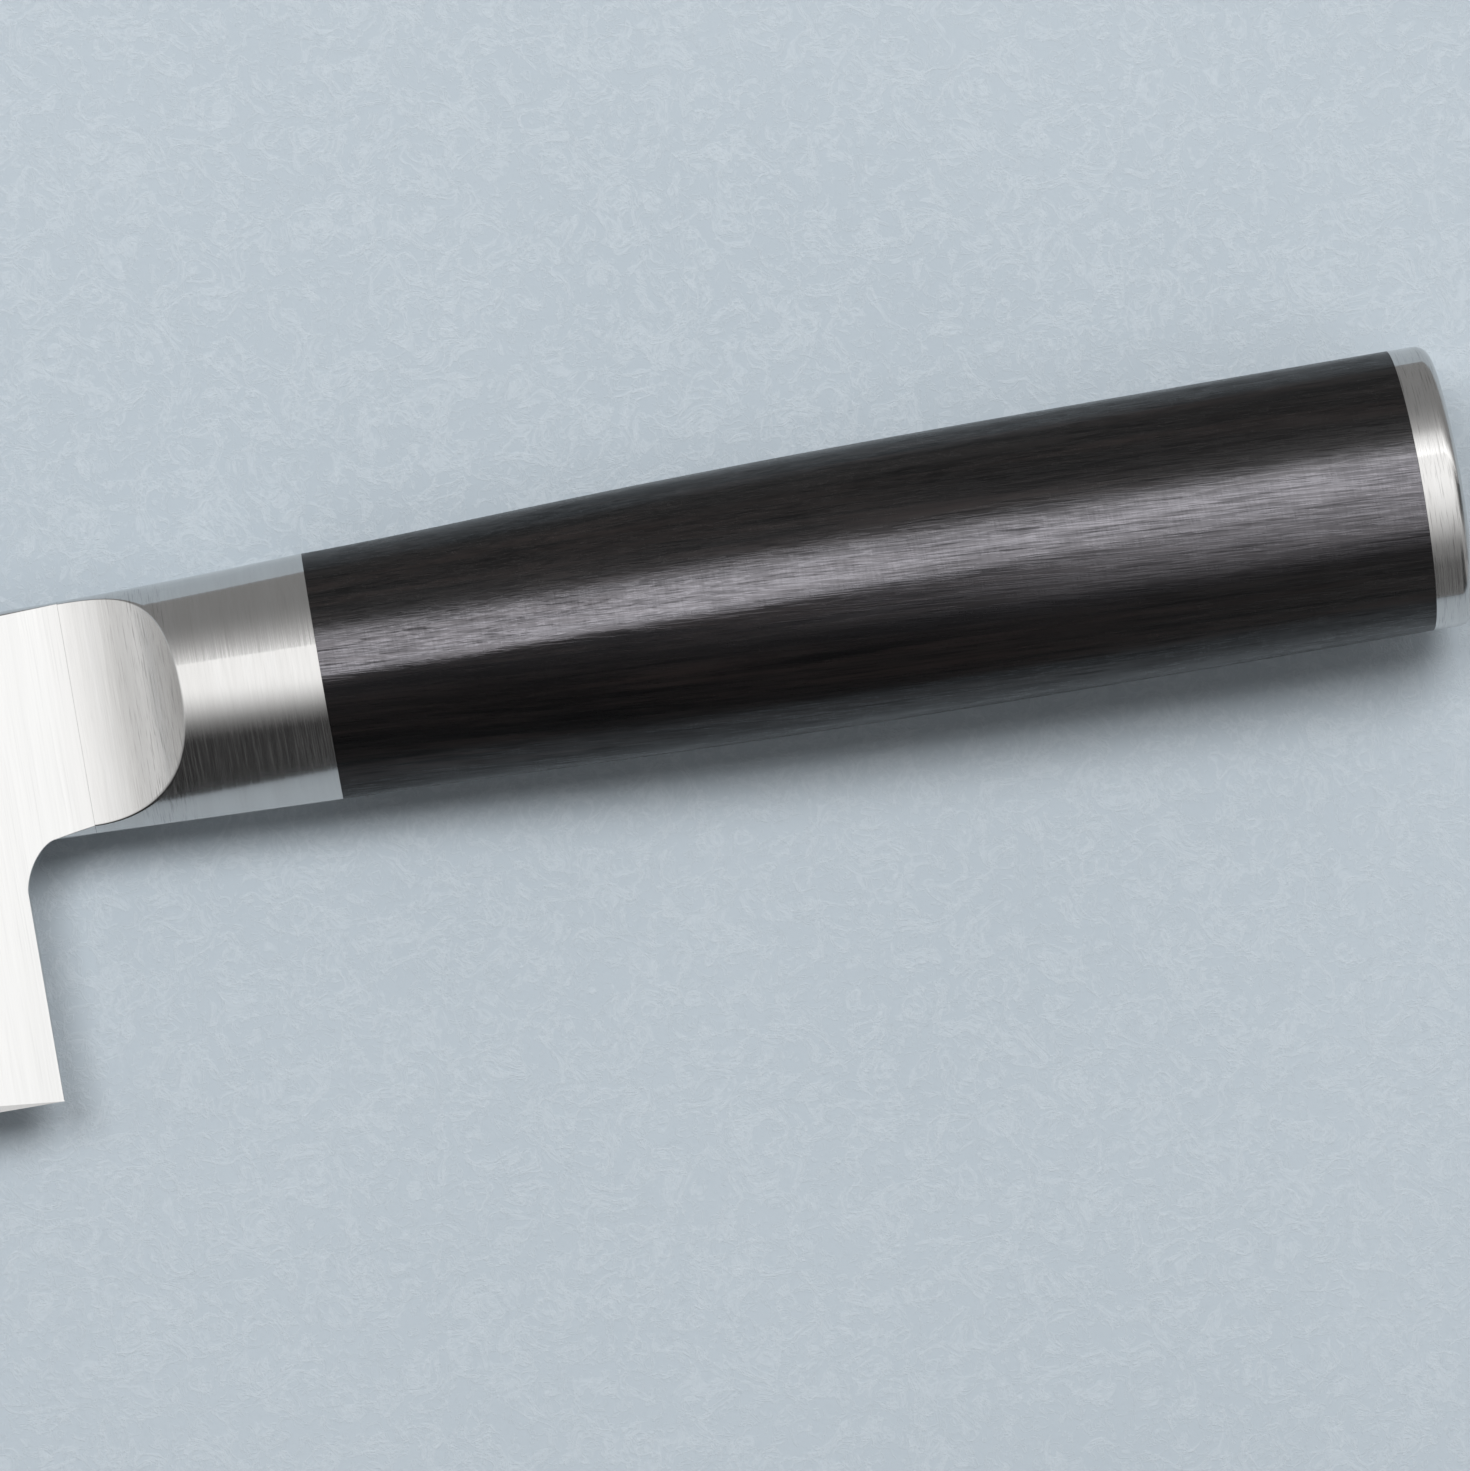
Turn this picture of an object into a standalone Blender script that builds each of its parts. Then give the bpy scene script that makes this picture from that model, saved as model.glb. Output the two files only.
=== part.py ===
# Usuba knife with a single-bevel blade, a scooped steel bolster, a wood grip and a steel end cap.
# Metres. +X runs to the butt, +Y to the spine, +Z out of the flat back of the blade.
# Each piece is modelled from the handle's axis at the joint between bolster and grip.

import math

import bmesh
import bpy
from mathutils import Matrix, Vector

# Space left between pieces that touch
GAP = 0.0003

# Blade
EDGE_LENGTH = 0.165
BLADE_HEIGHT = 0.04641
BLADE_THICKNESS = 0.0034
TIP_THINNING = 0.00045
TIP_SLANT = 0.0015
TIP_RADIUS = 0.004
BEVEL_WIDTH = 0.014
EDGE_THICKNESS = 0.0002
BACK_BEVEL_WIDTH = 0.0006
BACK_BEVEL_DEPTH = 0.0001
BACK_BEVEL_RUN = 0.0063
EASED_EDGE = 0.00012

# Neck of the blade, from the weld to the heel, and the curve between neck and heel
NECK_LENGTH = 0.0073
NECK_SPINE_SIDE = 0.01117
NECK_EDGE_SIDE = 0.01097
CHOIL_ACROSS = 0.0033
CHOIL_ALONG = 0.0045
CHOIL_ROUNDNESS = 1.6
CHOIL_EASED_EDGE = 0.00025

# Bolster
BOLSTER_LENGTH = 0.0234
BOLSTER_HALF_THICKNESS = 0.0083
BOLSTER_FLARE = 1.5
SCOOP_RADIUS = 0.0108

# Handle section at the joint between bolster and grip, and at the butt
JOINT_SPINE_SIDE = 0.0118
JOINT_EDGE_SIDE = 0.0117
JOINT_HALF_THICKNESS = 0.0088
BUTT_SIDE = 0.01343
BUTT_HALF_THICKNESS = 0.0110

# How soon the grip reaches its full section, as distances and as the powers of the curves
SPINE_SIDE_REACH = 0.0312
EDGE_SIDE_REACH = 0.0359
SPINE_SIDE_POWER = 1.6
EDGE_SIDE_POWER = 1.5

# Highest line of the section, on the spine side of the axis at the weld and past it at the butt
RIDGE_AT_WELD = 0.0013
RIDGE_AT_BUTT = -0.00033

# Share of the thickness that the finger's side loses at the weld, and the power by which the loss fades
EDGE_RELIEF = 0.6
RELIEF_FADE = 3

# Grip and cap
GRIP_LENGTH = 0.10434
CAP_LENGTH = 0.0042
CAP_DOME = 0.00035
CAP_RIM = 0.0013

# Tang, nut and washer
TANG_WIDTH = 0.007
TANG_THICKNESS = 0.005
TANG_IN_BOLSTER = 0.009
THREAD_RADIUS = 0.00245
THREAD_OUT_OF_NUT = 0.0015
SHOULDER_TO_COUNTERBORE = 0.0025
COUNTERBORE_DEPTH = 0.0112
COUNTERBORE_CLEARANCE = 0.001
WASHER_RADIUS = 0.0062
WASHER_THICKNESS = 0.0012
NUT_ACROSS_FLATS = 0.008
NUT_THICKNESS = 0.004

# Pins between grip and cap
PIN_RADIUS = 0.00125
PIN_IN_CAP = 0.0022
PIN_IN_GRIP = 0.0070

# Smoothness of the handle's section and how far cutters run past what they cut
AROUND = 64
PAST = 0.002

# Places that follow from the sizes
FACE_Z = BLADE_THICKNESS / 2
WELD_X = -BOLSTER_LENGTH
HEEL_X = WELD_X - NECK_LENGTH
TIP_X = HEEL_X - EDGE_LENGTH
EDGE_Y = NECK_SPINE_SIDE - BLADE_HEIGHT
BUTT_X = GRIP_LENGTH + CAP_LENGTH
COUNTERBORE_X = GRIP_LENGTH - COUNTERBORE_DEPTH
COUNTERBORE_RADIUS = WASHER_RADIUS + COUNTERBORE_CLEARANCE
SHOULDER_X = COUNTERBORE_X - SHOULDER_TO_COUNTERBORE
WASHER_X = COUNTERBORE_X + GAP
NUT_X = WASHER_X + WASHER_THICKNESS + GAP
THREAD_END_X = NUT_X + NUT_THICKNESS + THREAD_OUT_OF_NUT
PIN_Y = (COUNTERBORE_RADIUS + BUTT_SIDE) / 2


# Scene and small helpers

for old in list(bpy.data.objects):
    bpy.data.objects.remove(old, do_unlink=True)

pieces = bpy.data.collections.new("usuba_knife")
cutters = bpy.data.collections.new("cutters")
bpy.context.scene.collection.children.link(pieces)
bpy.context.scene.collection.children.link(cutters)

# The whole knife is set down with the middle of its outline over the origin and its underside at zero.
knife_axis = bpy.data.objects.new("knife_axis", None)
knife_axis.empty_display_size = 0.02
knife_axis.location = (-(TIP_X + BUTT_X) / 2, -(EDGE_Y + BUTT_SIDE) / 2, BUTT_HALF_THICKNESS)
pieces.objects.link(knife_axis)


def material(name, color, roughness, metallic):
    made = bpy.data.materials.new(name)
    made.use_nodes = True
    shader = made.node_tree.nodes["Principled BSDF"]
    shader.inputs["Base Color"].default_value = (*color, 1.0)
    shader.inputs["Roughness"].default_value = roughness
    shader.inputs["Metallic"].default_value = metallic
    return made


satin_steel = material("satin_steel", (0.62, 0.61, 0.60), 0.32, 1.0)
blade_steel = material("blade_steel", (0.70, 0.70, 0.70), 0.28, 1.0)
plain_steel = material("plain_steel", (0.45, 0.45, 0.45), 0.45, 1.0)
dark_wood = material("dark_wood", (0.035, 0.022, 0.018), 0.38, 0.0)


def place(name, bm, look=None, smooth_angle=0.0):
    """Makes an object of a finished bmesh: a piece if it has a look, and a cutter if it has none."""
    bmesh.ops.recalc_face_normals(bm, faces=bm.faces)
    mesh = bpy.data.meshes.new(name)
    bm.to_mesh(mesh)
    bm.free()
    made = bpy.data.objects.new(name, mesh)
    made.parent = knife_axis
    if look is None:
        cutters.objects.link(made)
        made.hide_render = True
        made.display_type = "WIRE"
        return made
    pieces.objects.link(made)
    mesh.materials.append(look)
    if smooth_angle:
        mesh.shade_smooth()
        mesh.set_sharp_from_angle(angle=smooth_angle)
    return made


def loft(rings):
    """Skins closed rings that have the same number of points, and closes both ends."""
    bm = bmesh.new()
    loops = [[bm.verts.new(point) for point in ring] for ring in rings]
    for first, second in zip(loops, loops[1:]):
        for i in range(len(first)):
            j = (i + 1) % len(first)
            bm.faces.new((first[i], first[j], second[j], second[i]))
    bm.faces.new(loops[0][::-1])
    bm.faces.new(loops[-1])
    return bm


def block(low, high, turn=Matrix()):
    """A box between two corners, then turned about the origin."""
    size = [b - a for a, b in zip(low, high)]
    middle = [(a + b) / 2 for a, b in zip(low, high)]
    bm = bmesh.new()
    stretch = Matrix.Diagonal((*size, 1.0))
    bmesh.ops.create_cube(bm, size=1.0, matrix=turn @ Matrix.Translation(middle) @ stretch)
    return bm


def rod(radius, start_x, end_x, y=0.0, segments=24):
    """A cylinder along X."""
    bm = bmesh.new()
    middle = Matrix.Translation(((start_x + end_x) / 2, y, 0.0))
    bmesh.ops.create_cone(
        bm,
        cap_ends=True,
        segments=segments,
        radius1=radius,
        radius2=radius,
        depth=end_x - start_x,
        matrix=middle @ Matrix.Rotation(math.pi / 2, 4, "Y"),
    )
    return bm


def boolean(target, tool, operation="DIFFERENCE"):
    modifier = target.modifiers.new(f"{operation.lower()} {tool.name}", "BOOLEAN")
    modifier.operation = operation
    modifier.solver = "EXACT"
    modifier.object = tool


# Handle section, shared by bolster, grip and cap


def swell(x, start, full, reach, power):
    """Widens from its start at the joint to the full size, most of it within the reach."""
    return full - (full - start) * math.exp(-((x / reach) ** power))


def section(x):
    """Ridge, spine side, edge side, half thickness and relief of the edge side at x."""
    if x < 0:
        share = 1 - x / WELD_X
        ridge = RIDGE_AT_WELD * (1 - share)
        spine_side = NECK_SPINE_SIDE + (JOINT_SPINE_SIDE - NECK_SPINE_SIDE) * share**BOLSTER_FLARE
        edge_side = NECK_EDGE_SIDE + (JOINT_EDGE_SIDE - NECK_EDGE_SIDE) * share
        thickness = BOLSTER_HALF_THICKNESS + (JOINT_HALF_THICKNESS - BOLSTER_HALF_THICKNESS) * share
        return ridge, spine_side, edge_side, thickness, EDGE_RELIEF * (1 - share**RELIEF_FADE)
    spine_side = swell(x, JOINT_SPINE_SIDE, BUTT_SIDE, SPINE_SIDE_REACH, SPINE_SIDE_POWER)
    edge_side = swell(x, JOINT_EDGE_SIDE, BUTT_SIDE, EDGE_SIDE_REACH, EDGE_SIDE_POWER)
    thickness = swell(x, JOINT_HALF_THICKNESS, BUTT_HALF_THICKNESS, SPINE_SIDE_REACH, SPINE_SIDE_POWER)
    return RIDGE_AT_BUTT * x / BUTT_X, spine_side, edge_side, thickness, 0.0


def outline(x, shape_x, inset=0.0, share=1.0):
    """The oval of shape_x as a ring of points at x, drawn in by an inset and then shrunk to a share."""
    ridge, spine_side, edge_side, thickness, relief = section(shape_x)
    points = []
    for i in range(AROUND):
        turn = 2 * math.pi * i / AROUND
        across, up = math.cos(turn), math.sin(turn)
        if across < 0:
            reach = edge_side + ridge
            up *= 1 - relief * across**2
        else:
            reach = spine_side - ridge
        points.append((x, ridge + across * (reach - inset) * share, up * (thickness - inset) * share))
    return points


def evenly(start, end, steps):
    return [start + (end - start) * i / steps for i in range(steps + 1)]


# Blade, a plate whose sides are rounded by an amount that changes along its outline


def rounding_at_weld(reach, relief):
    """How far the bolster's oval has drawn in at the height of the blade's face."""
    up = 0.0
    for _ in range(30):
        up = FACE_Z / (BOLSTER_HALF_THICKNESS * (1 - relief * (1 - up**2)))
    return reach * (1 - math.sqrt(1 - up**2))


def blade_outline():
    """Points as x, y, inward direction and rounding, counter-clockwise seen from the back."""
    neck_x = WELD_X - GAP / 2
    spine_ease = rounding_at_weld(NECK_SPINE_SIDE - RIDGE_AT_WELD, 0.0)
    neck_ease = rounding_at_weld(NECK_EDGE_SIDE + RIDGE_AT_WELD, EDGE_RELIEF)
    points = [
        (neck_x, NECK_SPINE_SIDE, 0.0, -1.0, spine_ease),
        (HEEL_X, NECK_SPINE_SIDE, 0.0, -1.0, spine_ease),
    ]
    for turn in evenly(0.0, math.pi / 2, 8):
        c, s = math.cos(turn), math.sin(turn)
        x = TIP_X + TIP_SLANT + TIP_RADIUS * (1 - s)
        y = NECK_SPINE_SIDE - TIP_RADIUS * (1 - c)
        points.append((x, y, s, -c, spine_ease))
    points.append((TIP_X, EDGE_Y, 1.0, 0.0, 0.0))
    points.append((HEEL_X, EDGE_Y, -1.0, 0.0, 0.0))
    points.append((HEEL_X, EDGE_Y + 5 * EASED_EDGE, -1.0, 0.0, EASED_EDGE))
    bend = 2 / CHOIL_ROUNDNESS
    slope = CHOIL_ROUNDNESS - 1
    for share in evenly(0.0, 1.0, 12):
        c, s = math.cos(math.pi / 2 * share) ** bend, math.sin(math.pi / 2 * share) ** bend
        x = HEEL_X + CHOIL_ACROSS * (1 - c)
        y = -NECK_EDGE_SIDE - CHOIL_ALONG * (1 - s)
        inward = Vector((-(c**slope) / CHOIL_ACROSS, s**slope / CHOIL_ALONG)).normalized()
        points.append((x, y, *inward, EASED_EDGE + (CHOIL_EASED_EDGE - EASED_EDGE) * share))
    points.append((neck_x, -NECK_EDGE_SIDE, 0.0, 1.0, neck_ease))
    return points


def blade_ring(height):
    ring = []
    for x, y, inward_x, inward_y, ease in blade_outline():
        inset = ease * height**2
        ring.append((x + inward_x * inset, y + inward_y * inset, height * FACE_Z))
    return ring


blade = place("blade", loft([blade_ring(height) for height in evenly(-1.0, 1.0, 8)]), blade_steel)

# The underside thins towards the tip.
thinning = math.atan2(TIP_THINNING, EDGE_LENGTH)
thinning_cut = block(
    (-EDGE_LENGTH - 2 * PAST, -2 * BLADE_HEIGHT, -BLADE_THICKNESS), (0.0, 2 * BLADE_HEIGHT, 0.0)
)
thinning_cut.transform(Matrix.Translation((HEEL_X, 0.0, -FACE_Z)) @ Matrix.Rotation(thinning, 4, "Y"))
boolean(blade, place("thinning_cutter", thinning_cut))

# The one wide bevel is ground on the underside only.
bevel_angle = math.atan2(BLADE_THICKNESS - EDGE_THICKNESS, BEVEL_WIDTH)
bevel_cut = block(
    (TIP_X - PAST, -PAST, -2 * BLADE_THICKNESS),
    (HEEL_X + PAST, 2 * BEVEL_WIDTH, 0.0),
    Matrix.Rotation(-bevel_angle, 4, "X"),
)
bevel_cut.transform(Matrix.Translation((0.0, EDGE_Y, FACE_Z - EDGE_THICKNESS)))
boolean(blade, place("bevel_cutter", bevel_cut))


# The narrow bevel on the back starts at the heel and soon reaches its full width.


def back_bevel_ring(x, width):
    slope = BACK_BEVEL_DEPTH / BACK_BEVEL_WIDTH
    outer_y, inner_y = EDGE_Y - PAST, EDGE_Y + width
    low_z, high_z = FACE_Z - (width + PAST) * slope, FACE_Z + PAST
    return [(x, outer_y, low_z), (x, inner_y, FACE_Z), (x, inner_y, high_z), (x, outer_y, high_z)]


back_bevel_rings = [
    back_bevel_ring(HEEL_X + PAST, -BACK_BEVEL_WIDTH * PAST / BACK_BEVEL_RUN),
    back_bevel_ring(HEEL_X - BACK_BEVEL_RUN, BACK_BEVEL_WIDTH),
    back_bevel_ring(TIP_X - PAST, BACK_BEVEL_WIDTH),
]
boolean(blade, place("back_bevel_cutter", loft(back_bevel_rings)))


# Bolster, an oval that two round scoops bring down to the thickness of the blade

bolster_rings = [outline(x, x) for x in evenly(WELD_X + GAP / 2, -GAP / 2, 10)]
bolster = place("bolster", loft(bolster_rings), satin_steel, math.radians(30))

for side, name in ((1, "back_scoop"), (-1, "bevel_side_scoop")):
    scoop = bmesh.new()
    middle = Matrix.Translation((WELD_X, 0.0, side * (FACE_Z + SCOOP_RADIUS)))
    bmesh.ops.create_cone(
        scoop,
        cap_ends=True,
        segments=120,
        radius1=SCOOP_RADIUS,
        radius2=SCOOP_RADIUS,
        depth=4 * JOINT_SPINE_SIDE,
        matrix=middle @ Matrix.Rotation(math.pi / 2, 4, "X"),
    )
    boolean(bolster, place(name, scoop))

# One slot through bolster and grip takes the flat of the tang.
slot_y = TANG_WIDTH / 2 + GAP
slot_z = TANG_THICKNESS / 2 + GAP
slot = block((-TANG_IN_BOLSTER - GAP, -slot_y, -slot_z), (SHOULDER_X + GAP, slot_y, slot_z))
tang_slot = place("tang_slot", slot)
boolean(bolster, tang_slot)


# Grip, slotted and bored for the tang and counterbored for the nut

swell_end = min(2 * SPINE_SIDE_REACH, GRIP_LENGTH / 2)
grip_stations = evenly(GAP / 2, swell_end, 14) + evenly(swell_end, GRIP_LENGTH - GAP / 2, 5)[1:]
grip = place("grip", loft([outline(x, x) for x in grip_stations]), dark_wood, math.radians(30))
boolean(grip, tang_slot)
thread_bore = place("thread_bore", rod(THREAD_RADIUS + GAP, SHOULDER_X - PAST, THREAD_END_X + PAST))
boolean(grip, thread_bore)
counterbore = rod(COUNTERBORE_RADIUS, COUNTERBORE_X, GRIP_LENGTH + PAST, segments=32)
boolean(grip, place("counterbore", counterbore))


# End cap, slightly domed and rounded at the rim

rim_x = BUTT_X - CAP_DOME - CAP_RIM
cap_rings = [outline(x, x) for x in evenly(GRIP_LENGTH + GAP / 2, rim_x, 2)]
for turn in evenly(0.0, math.pi / 2, 6)[1:]:
    x = rim_x + CAP_RIM * math.sin(turn)
    cap_rings.append(outline(x, rim_x, CAP_RIM * (1 - math.cos(turn))))
for share in evenly(1.0, 0.2, 4)[1:]:
    x = BUTT_X - CAP_DOME * share**2
    cap_rings.append(outline(x, rim_x, CAP_RIM, share))
end_cap = place("end_cap", loft(cap_rings), satin_steel, math.radians(30))


# Tang, a flat bar with a round threaded end

bar = block(
    (-TANG_IN_BOLSTER, -TANG_WIDTH / 2, -TANG_THICKNESS / 2),
    (SHOULDER_X, TANG_WIDTH / 2, TANG_THICKNESS / 2),
)
tang = place("tang", bar, plain_steel)
boolean(tang, place("tang_thread", rod(THREAD_RADIUS, SHOULDER_X - PAST / 2, THREAD_END_X)), "UNION")

washer = rod(WASHER_RADIUS, WASHER_X, WASHER_X + WASHER_THICKNESS, segments=32)
nut = rod(NUT_ACROSS_FLATS / math.sqrt(3), NUT_X, NUT_X + NUT_THICKNESS, segments=6)
boolean(place("tang_washer", washer, plain_steel), thread_bore)
boolean(place("tang_nut", nut, plain_steel), thread_bore)


# Pins that hold the cap, in blind holes half-way between counterbore and rim

pin_start = GRIP_LENGTH - PIN_IN_GRIP
pin_end = GRIP_LENGTH + PIN_IN_CAP
for name, y in (("cap_pin_spine", PIN_Y), ("cap_pin_edge", -PIN_Y)):
    place(name, rod(PIN_RADIUS, pin_start, pin_end, y, 16), plain_steel)
    hole = place(f"{name}_hole", rod(PIN_RADIUS + GAP, pin_start - GAP, pin_end + GAP, y, 16))
    boolean(grip, hole)
    boolean(end_cap, hole)

bpy.context.view_layer.update()
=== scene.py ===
# Usuba knife on a pale plaster board, the flat back of its blade up.
# Metres: +X towards the butt, +Y towards the spine, +Z out of the flat back.

import math

import bmesh
import bpy
from mathutils import Matrix, Vector


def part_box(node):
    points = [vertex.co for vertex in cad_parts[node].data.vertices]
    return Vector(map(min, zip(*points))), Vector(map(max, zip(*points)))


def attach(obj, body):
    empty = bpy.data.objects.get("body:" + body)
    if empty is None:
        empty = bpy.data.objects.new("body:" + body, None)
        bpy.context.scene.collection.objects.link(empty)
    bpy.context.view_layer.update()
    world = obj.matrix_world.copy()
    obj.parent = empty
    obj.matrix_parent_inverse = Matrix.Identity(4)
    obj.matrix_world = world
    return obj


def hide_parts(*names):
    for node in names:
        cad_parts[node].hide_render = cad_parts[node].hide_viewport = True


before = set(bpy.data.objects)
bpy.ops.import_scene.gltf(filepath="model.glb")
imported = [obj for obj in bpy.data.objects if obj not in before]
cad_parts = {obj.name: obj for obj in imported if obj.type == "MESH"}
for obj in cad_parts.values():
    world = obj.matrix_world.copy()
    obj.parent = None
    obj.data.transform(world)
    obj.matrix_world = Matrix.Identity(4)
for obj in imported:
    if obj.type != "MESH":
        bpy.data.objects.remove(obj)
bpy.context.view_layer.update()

# Places taken from the frame. Everything is modelled from the handle's axis, where bolster and grip join.
gap = 0.0003  # between neighbouring solids of the frame, closed here
seam = 0.00001  # what each piece leaves of it
bladeLow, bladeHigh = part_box("blade")
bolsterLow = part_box("bolster")[0]
gripLow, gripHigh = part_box("grip")
capLow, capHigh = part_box("end_cap")
axisPlace = Vector((gripLow.x - gap / 2, (capLow.y + capHigh.y) / 2, (gripLow.z + gripHigh.z) / 2))
weldX = bolsterLow.x - gap / 2 - axisPlace.x
gripLength = gripHigh.x + gap / 2 - axisPlace.x
buttX = capHigh.x - axisPlace.x
toPlace = Matrix.Translation(axisPlace)

# The handle's oval, shared by bolster, grip and cap: its reach to each side and upwards at neck, joint and
# butt, and how much flatter its edge side is than the rest
handle = {
    "neckSpineSide": 0.01117,
    "neckEdgeSide": 0.01097,
    "neckHalfThickness": 0.0083,
    "flare": 1.5,
    "jointSpineSide": 0.0118,
    "jointEdgeSide": 0.0117,
    "jointHalfThickness": 0.0088,
    "buttSide": (capHigh.y - capLow.y) / 2,
    "buttHalfThickness": (gripHigh.z - gripLow.z) / 2,
    "spineReach": 0.0312,
    "edgeReach": 0.0359,
    "spinePower": 1.6,
    "edgePower": 1.5,
    "ridgeAtWeld": 0.0013,
    "ridgeAtButt": -0.00033,
    "weldRelief": 0.485,
    "jointRelief": 0.53,
    "buttRelief": 0.0,
    "reliefReach": 0.030,
    "reliefPower": 1.6,
}
uvPerMetre = {"ends": 10, "plate": 5}  # the brushing map's scale on end faces and on the blade


def evenly(start, end, steps):
    return [start + (end - start) * i / steps for i in range(steps + 1)]


def swell(x, start, full, reach, power):
    return full - (full - start) * math.exp(-((x / reach) ** power))


def ovalAt(x):  # ridge, spine side, edge side, half thickness, relief of the edge side
    h = handle
    if x < 0:
        share = 1 - x / weldX
        spineSide = h["neckSpineSide"] + (h["jointSpineSide"] - h["neckSpineSide"]) * share ** h["flare"]
        edgeSide = h["neckEdgeSide"] + (h["jointEdgeSide"] - h["neckEdgeSide"]) * share
        thick = h["neckHalfThickness"] + (h["jointHalfThickness"] - h["neckHalfThickness"]) * share
        relief = h["weldRelief"] + (h["jointRelief"] - h["weldRelief"]) * share
        return h["ridgeAtWeld"] * (1 - share), spineSide, edgeSide, thick, relief
    spineSide = swell(x, h["jointSpineSide"], h["buttSide"], h["spineReach"], h["spinePower"])
    edgeSide = swell(x, h["jointEdgeSide"], h["buttSide"], h["edgeReach"], h["edgePower"])
    thick = swell(x, h["jointHalfThickness"], h["buttHalfThickness"], h["spineReach"], h["spinePower"])
    relief = swell(x, h["jointRelief"], h["buttRelief"], h["reliefReach"], h["reliefPower"])
    return h["ridgeAtButt"] * x / buttX, spineSide, edgeSide, thick, relief


def ovalPoint(shapeX, turn, inset=0.0):  # y and z on the oval
    ridge, spineSide, edgeSide, thick, relief = ovalAt(shapeX)
    across, up = math.cos(turn), math.sin(turn)
    if across < 0:
        return ridge + across * (edgeSide + ridge - inset), up * (1 - relief * across**2) * (thick - inset)
    return ridge + across * (spineSide - ridge - inset), up * (thick - inset)


def newObject(name, data):
    made = bpy.data.objects.new(name, data)
    bpy.context.scene.collection.objects.link(made)
    return made


def meshFrom(bm, name):
    bmesh.ops.recalc_face_normals(bm, faces=bm.faces)
    mesh = bpy.data.meshes.new(name)
    bm.to_mesh(mesh)
    bm.free()
    return mesh


def skin(rings, name):  # closed rings of as many points each, with both ends filled
    bm = bmesh.new()
    along = bm.loops.layers.uv.new("brushing")
    loops = [[bm.verts.new(p) for p in ring] for ring in rings]
    around = len(loops[0])
    for row, (first, second) in enumerate(zip(loops, loops[1:])):
        for i in range(around):
            j = (i + 1) % around
            face = bm.faces.new((first[i], first[j], second[j], second[i]))
            for corner, (du, dv) in zip(face.loops, ((0, 0), (0, 1), (1, 1), (1, 0))):
                corner[along].uv = ((row + du) / (len(loops) - 1), (i + dv) / around)
    for ring, order in ((loops[0], -1), (loops[-1], 1)):
        face = bm.faces.new(ring[::order])
        for corner in face.loops:
            corner[along].uv = (corner.vert.co.y * uvPerMetre["ends"], corner.vert.co.z * uvPerMetre["ends"])
    return meshFrom(bm, name)


def addPiece(name, mesh, look, sharpAngle):
    mesh.transform(toPlace)
    mesh.materials.clear()
    mesh.materials.append(look)
    mesh.shade_smooth()
    mesh.set_sharp_from_angle(angle=math.radians(sharpAngle))
    return newObject(name, mesh)


# Helpers for nodes. A value that is a socket gets linked, any other is set on the node.
number, vector = "NodeSocketFloat", "NodeSocketVector"
perMetre = 1000.0  # millimetres
softRange = (0.35, 0.65)  # noise values between which a soft pattern fades in
black = (0.0, 0.0, 0.0)


def addNode(tree, kind, inputs=None, **settings):
    node = tree.nodes.new(kind)
    for key, value in settings.items():
        setattr(node, key, value)
    for key, value in (inputs or {}).items():
        if isinstance(value, bpy.types.NodeSocket):
            tree.links.new(value, node.inputs[key])
        else:
            node.inputs[key].default_value = value
    return node


def math2(tree, operation, a, b=0.5, clamp=False):
    return addNode(tree, "ShaderNodeMath", {0: a, 1: b}, operation=operation, use_clamp=clamp).outputs[0]


def weightedSum(tree, *parts):  # of values and their weights
    total = None
    for value, weight in parts:
        part = math2(tree, "MULTIPLY", value, weight)
        total = part if total is None else math2(tree, "ADD", total, part)
    return total


def vectorMath(tree, operation, a, b=(0, 0, 0)):
    second = "Scale" if operation == "SCALE" else 1
    return addNode(tree, "ShaderNodeVectorMath", {0: a, second: b}, operation=operation).outputs[0]


def partsOf(tree, value):
    return addNode(tree, "ShaderNodeSeparateXYZ", {0: value}).outputs


def mixColor(tree, share, a, b):
    a, b = [tone if isinstance(tone, bpy.types.NodeSocket) else (*tone, 1) for tone in (a, b)]
    return addNode(tree, "ShaderNodeMix", {0: share, 6: a, 7: b}, data_type="RGBA").outputs[2]


def spread(tree, value, low, high, toLow=0.0, toHigh=1.0):
    inputs = {"Value": value, "From Min": low, "From Max": high, "To Min": toLow, "To Max": toHigh}
    return addNode(tree, "ShaderNodeMapRange", inputs).outputs["Result"]


def noiseAt(tree, place, scale=1.0, detail=2.0, roughness=0.5, distortion=0.0):
    inputs = {"Vector": place, "Scale": scale, "Detail": detail}
    inputs.update({"Roughness": roughness, "Distortion": distortion})
    return addNode(tree, "ShaderNodeTexNoise", inputs).outputs["Fac"]


def crestsOf(tree, noise, middle, reach):  # winding lines where a noise passes its middle
    off = math2(tree, "ABSOLUTE", math2(tree, "SUBTRACT", noise, middle))
    return spread(tree, off, 0.0, reach, 1.0, 0.0)


def newGroup(name, inputs, outputs):
    group = bpy.data.node_groups.new(name, "ShaderNodeTree")
    for label, kind, value in inputs:
        socket = group.interface.new_socket(label, in_out="INPUT", socket_type=kind)
        socket.default_value = value
    for label, kind in outputs:
        group.interface.new_socket(label, in_out="OUTPUT", socket_type=kind)
    given = addNode(group, "NodeGroupInput").outputs
    result = addNode(group, "NodeGroupOutput").inputs
    return group, given, result


def useGroup(tree, group, **values):
    inputs = {key.replace("_", " "): value for key, value in values.items()}
    return addNode(tree, "ShaderNodeGroup", inputs, node_tree=group).outputs


def newMaterial(name):
    made = bpy.data.materials.new(name)
    made.use_nodes = True
    tree = made.node_tree
    place = addNode(tree, "ShaderNodeTexCoord").outputs["Object"]
    return made, tree, tree.nodes["Principled BSDF"], place


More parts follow.
